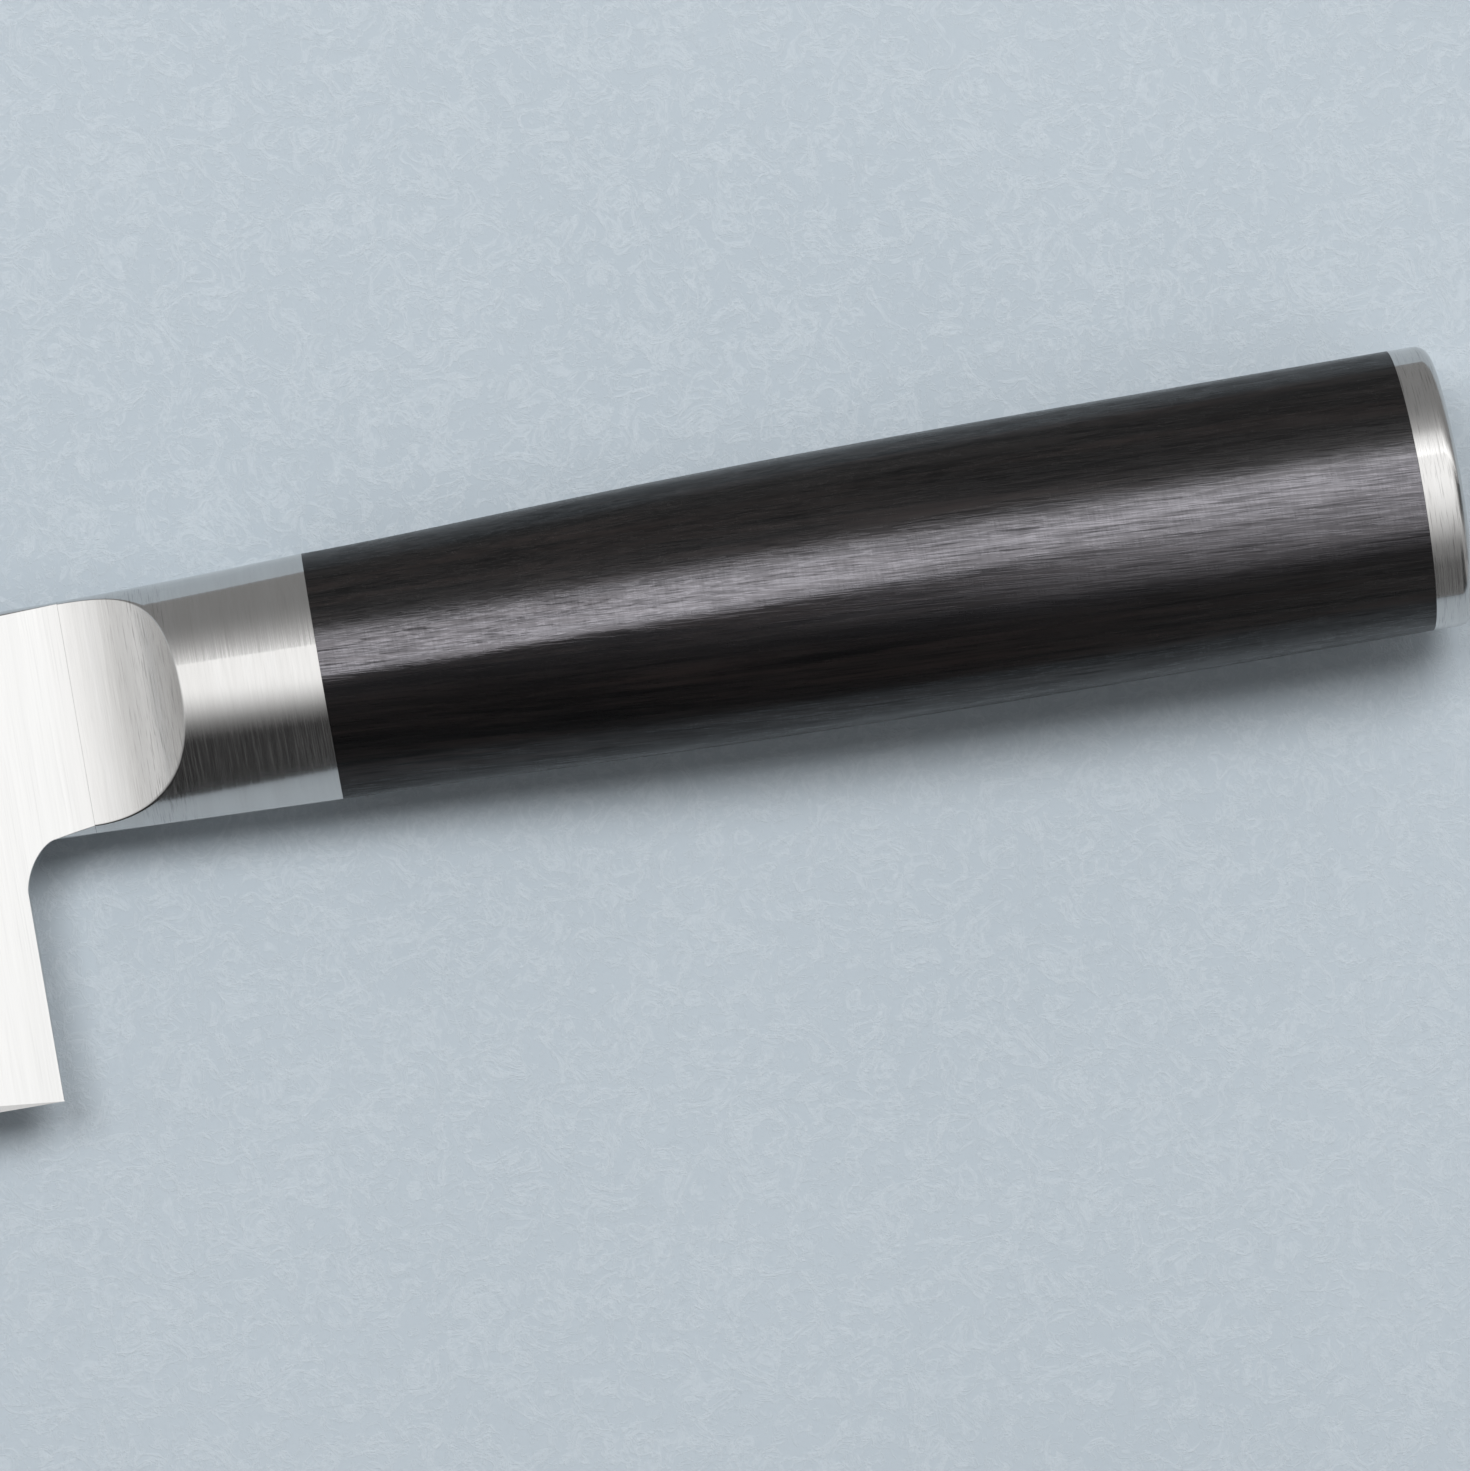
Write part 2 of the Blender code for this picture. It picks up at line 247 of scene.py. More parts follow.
# Lines that run round the handle and across the blade, as a belt leaves them. Each line leans a little to one
# side along X, so that highlights spread that way only. Each kind has its density across and along the lines,
# with the ordinary lines as 1, and on the cap's end face all of them fade out.
brushing = {
    "fine": (9.0, 1.0),
    "lines": (1.0, 1.0),
    "streaks": (0.16, 0.5),
    "scratches": (3.0, 2.5),
    "roughness": 0.6,
    "lineRange": (0.3, 0.7),
    "scratchRange": (0.56, 0.66),
    "leanRange": (0.28, 0.72),
    "endFace": (0.6, 0.85),
}


def makeBrushLines(look):
    group, given, result = newGroup(
        "brushLines",
        [
            ("Place", vector, (0, 0, 0)),
            ("Lines per mm", number, 3.0),
            ("Length mm", number, 30.0),
            ("Fine lean", number, 0.3),
            ("Coarse lean", number, 0.1),
        ],
        [("Lines", number), ("Streaks", number), ("Scratches", number), ("Normal", vector)],
    )
    lengthwise = math2(group, "DIVIDE", perMetre, given["Length mm"])

    def pattern(kind):
        across, along = look[kind]
        across = math2(group, "MULTIPLY", given["Lines per mm"], perMetre * across)
        along = math2(group, "MULTIPLY", lengthwise, along)
        scale = addNode(group, "ShaderNodeCombineXYZ", {"X": across, "Y": along, "Z": along}).outputs[0]
        place = vectorMath(group, "MULTIPLY", given["Place"], scale)
        return noiseAt(group, place, roughness=look["roughness"])

    fine, lines, streaks, scratches = [pattern(kind) for kind in ("fine", "lines", "streaks", "scratches")]
    normal = addNode(group, "ShaderNodeNewGeometry").outputs["Normal"]
    towardsX = partsOf(group, normal)["X"]
    offEnd = spread(group, towardsX, *look["endFace"], 1.0, 0.0)
    for noise, limits, label in (
        (lines, look["lineRange"], "Lines"),
        (scratches, look["scratchRange"], "Scratches"),
    ):
        group.links.new(math2(group, "MULTIPLY", spread(group, noise, *limits), offEnd), result[label])
    streaks = math2(group, "MULTIPLY", spread(group, streaks, *softRange, -0.5, 0.5), offEnd)
    group.links.new(math2(group, "ADD", streaks, 0.5), result["Streaks"])
    leans = [
        math2(group, "MULTIPLY", spread(group, noise, *look["leanRange"], -1.0, 1.0), given[label])
        for noise, label in ((fine, "Fine lean"), (lines, "Coarse lean"))
    ]
    lean = math2(group, "MULTIPLY", math2(group, "ADD", *leans), offEnd)
    side = vectorMath(group, "SUBTRACT", (1, 0, 0), vectorMath(group, "SCALE", normal, towardsX))
    leaning = vectorMath(group, "ADD", normal, vectorMath(group, "SCALE", side, lean))
    group.links.new(vectorMath(group, "NORMALIZE", leaning), result["Normal"])
    return group


# Patches where fingers and cloths have dulled or polished a surface
def makeHandling():
    group, given, result = newGroup(
        "handling", [("Place", vector, (0, 0, 0)), ("Patch mm", number, 12.0)], [("Patches", number)]
    )
    noise = noiseAt(group, given["Place"], math2(group, "DIVIDE", perMetre, given["Patch mm"]))
    group.links.new(spread(group, noise, *softRange), result["Patches"])
    return group


brushLines = makeBrushLines(brushing)
handling = makeHandling()


def makeSteel(name, look):
    made, tree, shader, place = newMaterial(name)
    brushed = useGroup(
        tree,
        brushLines,
        Place=place,
        Lines_per_mm=look["linesPerMm"],
        Length_mm=look["lineLength"],
        Fine_lean=look["fineLean"],
        Coarse_lean=look["coarseLean"],
    )
    worn = useGroup(tree, handling, Place=place, Patch_mm=look["patch"])["Patches"]
    along = math2(tree, "SUBTRACT", partsOf(tree, place)["X"], axisPlace.x)
    tone = mixColor(tree, brushed["Streaks"], look["darkTone"], look["lightTone"])
    if "nearWeld" in look:
        start, end, weldTone = look["nearWeld"]
        tone = mixColor(tree, spread(tree, along, start, end), tone, weldTone)
    tone = mixColor(tree, math2(tree, "MULTIPLY", brushed["Lines"], look["lineContrast"]), tone, black)
    scratched = math2(tree, "MULTIPLY", brushed["Scratches"], look["scratchContrast"])
    if "scratchedFrom" in look:
        few = look["fewScratches"]
        scratched = math2(tree, "MULTIPLY", scratched, spread(tree, along, *look["scratchedFrom"], few, 1.0))
        scratched = math2(tree, "MULTIPLY", scratched, spread(tree, along, *look["scratchedTo"], 1.0, few))
    tree.links.new(mixColor(tree, scratched, tone, black), shader.inputs["Base Color"])
    rough = weightedSum(tree, (worn, look["wornRoughness"]), (brushed["Lines"], look["lineRoughness"]))
    tree.links.new(math2(tree, "ADD", rough, look["roughness"]), shader.inputs["Roughness"])
    tree.links.new(brushed["Normal"], shader.inputs["Normal"])
    shader.inputs["Metallic"].default_value = 1.0
    if look["anisotropy"]:
        shader.inputs["Anisotropic"].default_value = look["anisotropy"]
        tangent = addNode(tree, "ShaderNodeTangent", direction_type="UV_MAP", uv_map="brushing")
        tree.links.new(tangent.outputs[0], shader.inputs["Tangent"])
    return made


# Steels: the bolster's, and the others by where they differ. Lengths of lines and patches are in mm.
satinSteelLook = {
    "darkTone": (0.575, 0.568, 0.557),
    "lightTone": (0.60, 0.595, 0.587),
    "linesPerMm": 3.2,
    "lineLength": 8.0,
    "lineContrast": 0.04,
    "scratchContrast": 0.3,
    "fineLean": 0.12,
    "coarseLean": 0.014,
    "roughness": 0.13,
    "lineRoughness": 0.02,
    "wornRoughness": 0.015,
    "patch": 9.0,
    "anisotropy": 1.0,
}
bolsterSteelLook = dict(
    satinSteelLook,
    nearWeld=(weldX + 0.0016, weldX, (0.64, 0.634, 0.625)),
    scratchedFrom=(weldX + 0.0035, weldX + 0.0065),
    scratchedTo=(weldX + 0.0094, weldX + 0.0102),
    fewScratches=0.15,
)
capSteelLook = dict(satinSteelLook, fineLean=0.1, coarseLean=0.012)
bladeSteelLook = dict(
    satinSteelLook,
    darkTone=(0.665, 0.664, 0.657),
    lightTone=(0.695, 0.694, 0.687),
    scratchContrast=0.05,
    linesPerMm=2.6,
    lineLength=30.0,
    nearWeld=(weldX - 0.0026, weldX, (0.635, 0.63, 0.622)),
)
plainSteelLook = dict(
    satinSteelLook,
    darkTone=(0.36, 0.36, 0.36),
    lightTone=(0.46, 0.46, 0.45),
    linesPerMm=3.0,
    lineLength=4.0,
    roughness=0.4,
    anisotropy=0.0,
)
satinSteel = makeSteel("satinSteel", bolsterSteelLook)
capSteel = makeSteel("capSteel", capSteelLook)
bladeSteel = makeSteel("bladeSteel", bladeSteelLook)
plainSteel = makeSteel("plainSteel", plainSteelLook)
print("steels made")


# Near-black laminated wood: darker and faintly reddish streaks, thin black fibres, and a rubbed oil finish
# that shines more on some bands and along fine lengthwise marks. Each pattern has its width and length in mm,
# its slant, its detail and its distortion.
darkWoodLook = {
    "streaks": (0.75, 38.0, -0.035, 4.0, 0.5),
    "streakRange": (0.36, 0.68),
    "layers": (3.0, 114.0, -0.035, 2.0, 0.3),
    "layerRange": (0.42, 0.62),
    "fibres": (0.16, 7.0, -0.035, 3.0, 0.2),
    "fibreRange": (0.5, 0.66),
    "bands": (2.4, 90.0, 0.035, 3.0, 0.4),
    "bandRange": (0.36, 0.64),
    "marks": (0.24, 9.0, -0.08, 2.0, 0.0),
    "markReach": 0.07,
    "scuffs": (1.6, 0.16, 0.0, 2.0, 0.3),
    "grainRoughness": 0.58,
    "deep": (0.0012, 0.0011, 0.0012),
    "brown": (0.0080, 0.0068, 0.0066),
    "reddish": (0.0118, 0.0083, 0.0075),
    "fibreTone": 0.85,
    "patch": 10.0,
    "roughness": 0.45,
    "wornRoughness": 0.1,
    "coatWeight": 0.26,
    "bandCoat": 0.16,
    "markCoat": 0.26,
    "scuffCoat": 0.08,
    "fibreCoat": -0.2,
    "markDepth": 0.0000014,
    "scuffHeight": 0.25,
    "fibreHeight": -0.4,
    "gloss": 1.18,
    "coatGloss": 1.7,
    "coatRoughness": 0.13,
}


def makeDarkWood(name, look):
    made, tree, shader, place = newMaterial(name)

    def grain(width, length, slant, detail, distortion):
        turned = addNode(tree, "ShaderNodeMapping", {"Vector": place, "Rotation": (0, 0, -slant)}).outputs[0]
        scale = (perMetre / length, perMetre / width, perMetre / width)
        stretched = addNode(tree, "ShaderNodeMapping", {"Vector": turned, "Scale": scale}).outputs[0]
        return noiseAt(tree, stretched, 1.0, detail, look["grainRoughness"], distortion)

    streaks = spread(tree, grain(*look["streaks"]), *look["streakRange"])
    layers = spread(tree, grain(*look["layers"]), *look["layerRange"])
    fibres = spread(tree, grain(*look["fibres"]), *look["fibreRange"])
    bands = spread(tree, grain(*look["bands"]), *look["bandRange"])
    marks = crestsOf(tree, grain(*look["marks"]), 0.5, look["markReach"])
    scuffs = grain(*look["scuffs"])
    tone = mixColor(tree, streaks, look["deep"], look["brown"])
    tone = mixColor(tree, math2(tree, "MULTIPLY", streaks, layers), tone, look["reddish"])
    tone = mixColor(tree, math2(tree, "MULTIPLY", fibres, look["fibreTone"]), tone, look["deep"])
    tree.links.new(tone, shader.inputs["Base Color"])
    worn = useGroup(tree, handling, Place=place, Patch_mm=look["patch"])["Patches"]
    rough = math2(tree, "ADD", math2(tree, "MULTIPLY", worn, look["wornRoughness"]), look["roughness"])
    tree.links.new(rough, shader.inputs["Roughness"])
    coat = weightedSum(
        tree,
        (bands, look["bandCoat"]),
        (marks, look["markCoat"]),
        (spread(tree, scuffs, *softRange), look["scuffCoat"]),
        (fibres, look["fibreCoat"]),
    )
    tree.links.new(math2(tree, "ADD", coat, look["coatWeight"], True), shader.inputs["Coat Weight"])
    height = weightedSum(tree, (marks, 1.0), (scuffs, look["scuffHeight"]), (fibres, look["fibreHeight"]))
    bump = addNode(tree, "ShaderNodeBump", {"Height": height, "Distance": look["markDepth"], "Strength": 1.0})
    tree.links.new(bump.outputs[0], shader.inputs["Normal"])
    tree.links.new(bump.outputs[0], shader.inputs["Coat Normal"])
    shader.inputs["IOR"].default_value = look["gloss"]
    shader.inputs["Coat IOR"].default_value = look["coatGloss"]
    shader.inputs["Coat Roughness"].default_value = look["coatRoughness"]
    return made


darkWood = makeDarkWood("darkWood", darkWoodLook)
print("wood made")


# Blade: a plate with eased sides and rounded corners, thinned to the tip, with one wide bevel underneath and
# a narrow one on the back
blade = {
    "thickness": bladeHigh.z - bladeLow.z,
    "neckLength": 0.00718,
    "tipThinning": 0.00045,
    "tipSlant": 0.0015,
    "tipRadius": 0.004,
    "tipStart": 0.006,
    "bevelWidth": 0.014,
    "edgeThickness": 0.0002,
    "backBevelWidth": 0.0006,
    "backBevelDepth": 0.0001,
    "backBevelRun": 0.0063,
    "easedEdge": 0.00003,
    "choilEasedEdge": 0.00012,
    "heelCorner": 0.00015,
    "cornerRadius": 0.00006,
    "spineCornerRadius": 0.00035,
    "cornerFade": 0.002,
    "cornerTurn": 84,
    "choilAcross": 0.0033,
    "choilAlong": 0.0045,
    "choilRoundness": 1.6,
    "spineSteps": 24,
    "tipSteps": 24,
    "choilSteps": 48,
    "neckSteps": 16,
    "heightSteps": 16,
    "cornerSteps": 14,
    "past": 0.002,
    "wide": 0.1,
    "flatFace": 0.00002,
    "sharpAngle": 8,
}
faceZ = blade["thickness"] / 2
heelX = weldX - blade["neckLength"]
tipX = bladeLow.x - axisPlace.x
edgeY = bladeLow.y - axisPlace.y


def roundingAtWeld(reach, relief):  # the bolster's own, at the height of the blade's faces
    up = 0.0
    for _ in range(30):  # settles long before
        up = faceZ / (handle["neckHalfThickness"] * (1 - relief * (1 - up**2)))
    return reach * (1 - math.sqrt(1 - up**2))


def bladeOutline():  # x, y, inward direction and rounding
    spineY, neckY = handle["neckSpineSide"], -handle["neckEdgeSide"]
    spineEase = roundingAtWeld(spineY - handle["ridgeAtWeld"], 0.0)
    neckEase = roundingAtWeld(handle["ridgeAtWeld"] - neckY, handle["weldRelief"])
    endX = weldX - seam
    spine = evenly(endX, tipX + blade["tipStart"], blade["spineSteps"])
    points = [(x, spineY, 0.0, -1.0, spineEase) for x in spine]
    radius = blade["tipRadius"]
    for turn in evenly(0.0, math.pi / 2, blade["tipSteps"]):
        c, s = math.cos(turn), math.sin(turn)
        x = tipX + blade["tipSlant"] + radius * (1 - s)
        points.append((x, spineY - radius * (1 - c), s, -c, spineEase))
    points.append((tipX, edgeY, 1.0, 0.0, 0.0))
    points.append((heelX, edgeY, -1.0, 0.0, 0.0))
    points.append((heelX, edgeY + blade["heelCorner"], -1.0, 0.0, blade["easedEdge"]))
    bend, slope = 2 / blade["choilRoundness"], blade["choilRoundness"] - 1
    for share in evenly(0.0, 1.0, blade["choilSteps"]):
        c, s = math.cos(math.pi / 2 * share) ** bend, math.sin(math.pi / 2 * share) ** bend
        x = heelX + blade["choilAcross"] * (1 - c)
        y = neckY - blade["choilAlong"] * (1 - s)
        inward = Vector((-(c**slope) / blade["choilAcross"], s**slope / blade["choilAlong"])).normalized()
        ease = blade["easedEdge"] + (blade["choilEasedEdge"] - blade["easedEdge"]) * share
        points.append((x, y, *inward, ease))
    choilEnd = heelX + blade["choilAcross"]
    for share in evenly(0.0, 1.0, blade["neckSteps"])[1:]:
        x = choilEnd + (endX - choilEnd) * share
        ease = blade["choilEasedEdge"] + (neckEase - blade["choilEasedEdge"]) * share
        points.append((x, neckY, 0.0, 1.0, ease))
    return points


def bladeRing(height, outline):
    ring = []
    for x, y, inX, inY, ease in outline:
        onSpine = y > 0 and inY < -0.5
        radius = blade["spineCornerRadius"] if onSpine else blade["cornerRadius"]
        intoCorner = min(max(abs(height) - (faceZ - radius), 0.0), radius)
        corner = radius - math.sqrt(radius**2 - intoCorner**2)
        fade = min(ease / blade["easedEdge"], (weldX - x) / blade["cornerFade"], 1.0)
        inset = ease * (height / faceZ) ** 2 + corner * fade
        ring.append((x + inX * inset, y + inY * inset, height))
    return ring


def cutter(name, bm, matrix):
    bm.transform(matrix)
    return newObject(name, meshFrom(bm, name))


def block(low, high):
    bm = bmesh.new()
    size = [b - a for a, b in zip(low, high)]
    middle = Vector([(a + b) / 2 for a, b in zip(low, high)])
    bmesh.ops.create_cube(bm, size=1.0, matrix=Matrix.Translation(middle) @ Matrix.Diagonal((*size, 1.0)))
    return bm


def cutAway(target, cutters):
    for tool in cutters:
        modifier = target.modifiers.new(tool.name, "BOOLEAN")
        modifier.operation = "DIFFERENCE"
        modifier.solver = "EXACT"
        modifier.object = tool
    bpy.context.view_layer.update()
    cut = bpy.data.meshes.new_from_object(target.evaluated_get(bpy.context.evaluated_depsgraph_get()))
    for used in (*cutters, target):
        bpy.data.objects.remove(used, do_unlink=True)
    return cut


def brushingMap(mesh):  # tangents along X on a flat plate
    layer = mesh.uv_layers.get("brushing") or mesh.uv_layers.new(name="brushing")
    for loop in mesh.loops:
        co = mesh.vertices[loop.vertex_index].co
        layer.data[loop.index].uv = (co.x * uvPerMetre["plate"], (co.y + co.z) * uvPerMetre["plate"])


def makeBlade():
    outline = bladeOutline()
    radius = blade["spineCornerRadius"]
    turns = evenly(0.0, math.radians(blade["cornerTurn"]), blade["cornerSteps"])
    rounding = [faceZ - radius + radius * math.sin(turn) for turn in turns]
    between = evenly(radius - faceZ, faceZ - radius, blade["heightSteps"])[1:-1]
    heights = [-faceZ, *[-z for z in rounding[-2::-1]], *between, *rounding[:-1], faceZ]
    plate = newObject("plate", skin([bladeRing(height, outline) for height in heights], "plate"))
    edgeLength = heelX - tipX
    past, width, wide = blade["past"], blade["bevelWidth"], blade["wide"]
    thinning = math.atan2(blade["tipThinning"], edgeLength)
    thinningCut = cutter(
        "thinning",
        block((-edgeLength - 2 * past, -wide, -blade["thickness"]), (0.0, wide, 0.0)),
        Matrix.Translation((heelX, 0.0, -faceZ)) @ Matrix.Rotation(thinning, 4, "Y"),
    )
    bevelAngle = math.atan2(blade["thickness"] - blade["edgeThickness"], width)
    bevelCut = cutter(
        "bevel",
        block((tipX - past, -past, -2 * blade["thickness"]), (heelX + past, 2 * width, 0.0)),
        Matrix.Translation((0.0, edgeY, faceZ - blade["edgeThickness"]))
        @ Matrix.Rotation(-bevelAngle, 4, "X"),
    )
    slope = blade["backBevelDepth"] / blade["backBevelWidth"]
    backRings = []
    for x, reach in (
        (heelX + past, -blade["backBevelWidth"] * past / blade["backBevelRun"]),
        (heelX - blade["backBevelRun"], blade["backBevelWidth"]),
        (tipX - past, blade["backBevelWidth"]),
    ):
        outerY, innerY = edgeY - past, edgeY + reach
        lowZ, highZ = faceZ - (reach + past) * slope, faceZ + past
        backRings.append([(x, outerY, lowZ), (x, innerY, faceZ), (x, innerY, highZ), (x, outerY, highZ)])
    backBevel = newObject("backBevel", skin(backRings, "backBevel"))
    mesh = cutAway(plate, [thinningCut, bevelCut, backBevel])
    brushingMap(mesh)
    piece = addPiece("bladePlate", mesh, bladeSteel, blade["sharpAngle"])
    sharpEdge = mesh.attributes["sharp_edge"].data
    for face in mesh.polygons:
        if face.area > blade["flatFace"]:  # smooth normals would tilt across the large flat faces
            for i in face.loop_indices:
                sharpEdge[mesh.loops[i].edge_index].value = True
    return piece


bladePlate = makeBlade()
print("blade made")


# Bolster: the oval with a round scoop in each face, whose outline is softened as by a polishing belt
bolster = {
    "scoopRadius": 0.01115,
    "softSpine": 0.00022,
    "softEdge": 0.00008,
    "around": 360,
    "scoopSteps": 150,
    "plainSteps": 60,
    "sharpAngle": 55,
}


def softMin(a, b, softness):
    h = min(max(0.5 + 0.5 * (b - a) / softness, 0.0), 1.0)
    return b + (a - b) * h - softness * h * (1 - h)


def makeBolster():
    scoopEnd = weldX + bolster["scoopRadius"]
    scooped = evenly(weldX + seam, scoopEnd, bolster["scoopSteps"])
    rings = []
    for x in scooped + evenly(scoopEnd, -seam, bolster["plainSteps"])[1:]:
        into = min((x - weldX) / bolster["scoopRadius"], 1.0)
        floor = faceZ + bolster["scoopRadius"] * (1 - math.sqrt(1 - into**2))
        ring = []
        for i in range(bolster["around"]):
            turn = 2 * math.pi * i / bolster["around"]
            y, z = ovalPoint(x, turn)
            if x < scoopEnd:
                side = (math.cos(turn) + 1) / 2
                softness = bolster["softEdge"] + (bolster["softSpine"] - bolster["softEdge"]) * side
                z = math.copysign(max(softMin(abs(z), floor, softness), 0.0), z)
            ring.append((x, y, z))
        rings.append(ring)
    return addPiece("scoopedBolster", skin(rings, "scoopedBolster"), satinSteel, bolster["sharpAngle"])


scoopedBolster = makeBolster()
print("bolster made")


# Grip: geometry nodes map a unit cylinder onto the swelling oval
grip = {"around": 240, "stations": 220, "sharpAngle": 40}


def makeSwellTree():
    tree = bpy.data.node_groups.new("swell", "GeometryNodeTree")
    for label in ("x", "start", "full", "reach", "power"):
        tree.interface.new_socket(label, in_out="INPUT", socket_type=number)
    tree.interface.new_socket("size", in_out="OUTPUT", socket_type=number)
    given = addNode(tree, "NodeGroupInput").outputs
    share = math2(tree, "POWER", math2(tree, "DIVIDE", given["x"], given["reach"]), given["power"])
    fade = math2(tree, "EXPONENT", math2(tree, "MULTIPLY", share, -1.0))
    rest = math2(tree, "MULTIPLY", math2(tree, "SUBTRACT", given["full"], given["start"]), fade)
    result = addNode(tree, "NodeGroupOutput").inputs
    tree.links.new(math2(tree, "SUBTRACT", given["full"], rest), result["size"])
    return tree


def makeGripTree(look):
    tree = bpy.data.node_groups.new("swellingGrip", "GeometryNodeTree")
    names = ["length", "ridgeAtButt", "jointSpineSide", "jointEdgeSide", "jointHalfThickness", "buttSide"]
    names += ["buttHalfThickness", "spineReach", "edgeReach", "spinePower", "edgePower", "buttX"]
    names += ["jointRelief", "buttRelief", "reliefReach", "reliefPower"]
    for label in ("around", "stations"):
        tree.interface.new_socket(label, in_out="INPUT", socket_type="NodeSocketInt")
    for label in names:
        tree.interface.new_socket(label, in_out="INPUT", socket_type=number)
    tree.interface.new_socket("grip", in_out="OUTPUT", socket_type="NodeSocketGeometry")
    given = addNode(tree, "NodeGroupInput").outputs
    cylinder = addNode(
        tree,
        "GeometryNodeMeshCylinder",
        {"Vertices": given["around"], "Side Segments": given["stations"], "Radius": 1.0, "Depth": 1.0},
    )
    unit = partsOf(tree, addNode(tree, "GeometryNodeInputPosition").outputs[0])
    x = math2(tree, "MULTIPLY", math2(tree, "ADD", unit["Z"], 0.5), given["length"])
    ridge = math2(tree, "MULTIPLY", given["ridgeAtButt"], math2(tree, "DIVIDE", x, given["buttX"]))
    swellTree = makeSwellTree()

    def size(start, full, reach, power):
        inputs = {"x": math2(tree, "MAXIMUM", x, 0.0), "start": given[start], "full": given[full]}
        inputs.update({"reach": given[reach], "power": given[power]})
        return addNode(tree, "GeometryNodeGroup", inputs, node_tree=swellTree).outputs["size"]

    spineSide = size("jointSpineSide", "buttSide", "spineReach", "spinePower")
    edgeSide = size("jointEdgeSide", "buttSide", "edgeReach", "edgePower")
    thick = size("jointHalfThickness", "buttHalfThickness", "spineReach", "spinePower")
    relief = size("jointRelief", "buttRelief", "reliefReach", "reliefPower")
    onSpine = math2(tree, "GREATER_THAN", unit["X"], 0.0)
    onEdge = math2(tree, "SUBTRACT", 1.0, onSpine)
    toSpine = math2(tree, "MULTIPLY", math2(tree, "SUBTRACT", spineSide, ridge), onSpine)
    toEdge = math2(tree, "MULTIPLY", math2(tree, "ADD", edgeSide, ridge), onEdge)
    reach = math2(tree, "ADD", toSpine, toEdge)
    y = math2(tree, "ADD", ridge, math2(tree, "MULTIPLY", unit["X"], reach))
    squared = math2(tree, "MULTIPLY", unit["X"], unit["X"])
    lost = math2(tree, "MULTIPLY", squared, math2(tree, "MULTIPLY", relief, onEdge))
    up = math2(tree, "MULTIPLY", unit["Y"], math2(tree, "SUBTRACT", 1.0, lost))
    z = math2(tree, "MULTIPLY", up, thick)
    onOval = addNode(tree, "ShaderNodeCombineXYZ", {"X": x, "Y": y, "Z": z}).outputs[0]
    inputs = {"Geometry": cylinder.outputs["Mesh"], "Position": onOval}
    shaped = addNode(tree, "GeometryNodeSetPosition", inputs)
    real = addNode(tree, "GeometryNodeRealizeInstances", {"Geometry": shaped.outputs[0]})
    dressed = addNode(tree, "GeometryNodeSetMaterial", {"Geometry": real.outputs[0], "Material": look})
    tree.links.new(dressed.outputs[0], addNode(tree, "NodeGroupOutput").inputs["grip"])
    return tree


def makeGrip():
    tree = makeGripTree(darkWood)
    carrier = newObject("gripCarrier", bpy.data.meshes.new("gripCarrier"))
    modifier = carrier.modifiers.new("swelling grip", "NODES")
    modifier.node_group = tree
    values = dict(handle, length=gripLength - 2 * seam, buttX=buttX, **grip)
    for socket in tree.interface.items_tree:
        if socket.in_out == "INPUT":
            modifier[socket.identifier] = values[socket.name]
    bpy.context.view_layer.update()
    shaped = carrier.evaluated_get(bpy.context.evaluated_depsgraph_get())
    mesh = bpy.data.meshes.new_from_object(shaped)
    bpy.data.objects.remove(carrier, do_unlink=True)
    mesh.transform(Matrix.Translation((seam, 0.0, 0.0)))
    return addPiece("woodGrip", mesh, darkWood, grip["sharpAngle"])


woodGrip = makeGrip()
print("grip made")


# End cap: slightly domed and rounded at the rim
cap = {
    "rim": 0.0013,
    "dome": 0.00035,
    "centre": 0.02,
    "around": 256,
    "wallSteps": 16,
    "rimSteps": 16,
    "domeSteps": 40,
    "sharpAngle": 40,
}


def makeCap():
    rimX = buttX - cap["dome"] - cap["rim"]
    turns = [2 * math.pi * i / cap["around"] for i in range(cap["around"])]

    def ring(x, shapeX, inset=0.0, share=1.0):
        points = []
        for turn in turns:
            y, z = ovalPoint(shapeX, turn, inset)
            points.append((x, y * share, z * share))
        return points

    rings = [ring(x, x) for x in evenly(gripLength + seam, rimX, cap["wallSteps"])]
    for turn in evenly(0.0, math.pi / 2, cap["rimSteps"])[1:]:
        rings.append(ring(rimX + cap["rim"] * math.sin(turn), rimX, cap["rim"] * (1 - math.cos(turn))))
    for share in evenly(1.0, cap["centre"], cap["domeSteps"])[1:]:
        rings.append(ring(buttX - cap["dome"] * share**2, rimX, cap["rim"], share))
    return addPiece("buttCap", skin(rings, "buttCap"), capSteel, cap["sharpAngle"])


buttCap = makeCap()
print("cap made")

for piece, node, slot in (
    (bladePlate, "blade", "blade_steel"),
    (scoopedBolster, "bolster", "satin_steel"),
    (woodGrip, "grip", "dark_wood"),
    (buttCap, "end_cap", "satin_steel"),
):
    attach(piece, "root")
    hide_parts(node)

for name in ("tang", "tang_washer", "tang_nut", "cap_pin_spine", "cap_pin_edge"):
    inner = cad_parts[name]
    inner.data.materials.clear()
    inner.data.materials.append(plainSteel)
print("pieces on the frame")


# Camera: nearly straight above, aimed past the grip so that the blade runs out of the picture
camera = {
    "foot": (0.0087, 0.0057),
    "height": 0.783,
    "aim": (0.03744, -0.01203),
    "right": (0.9856, -0.1690),
    "width": 0.139,
}

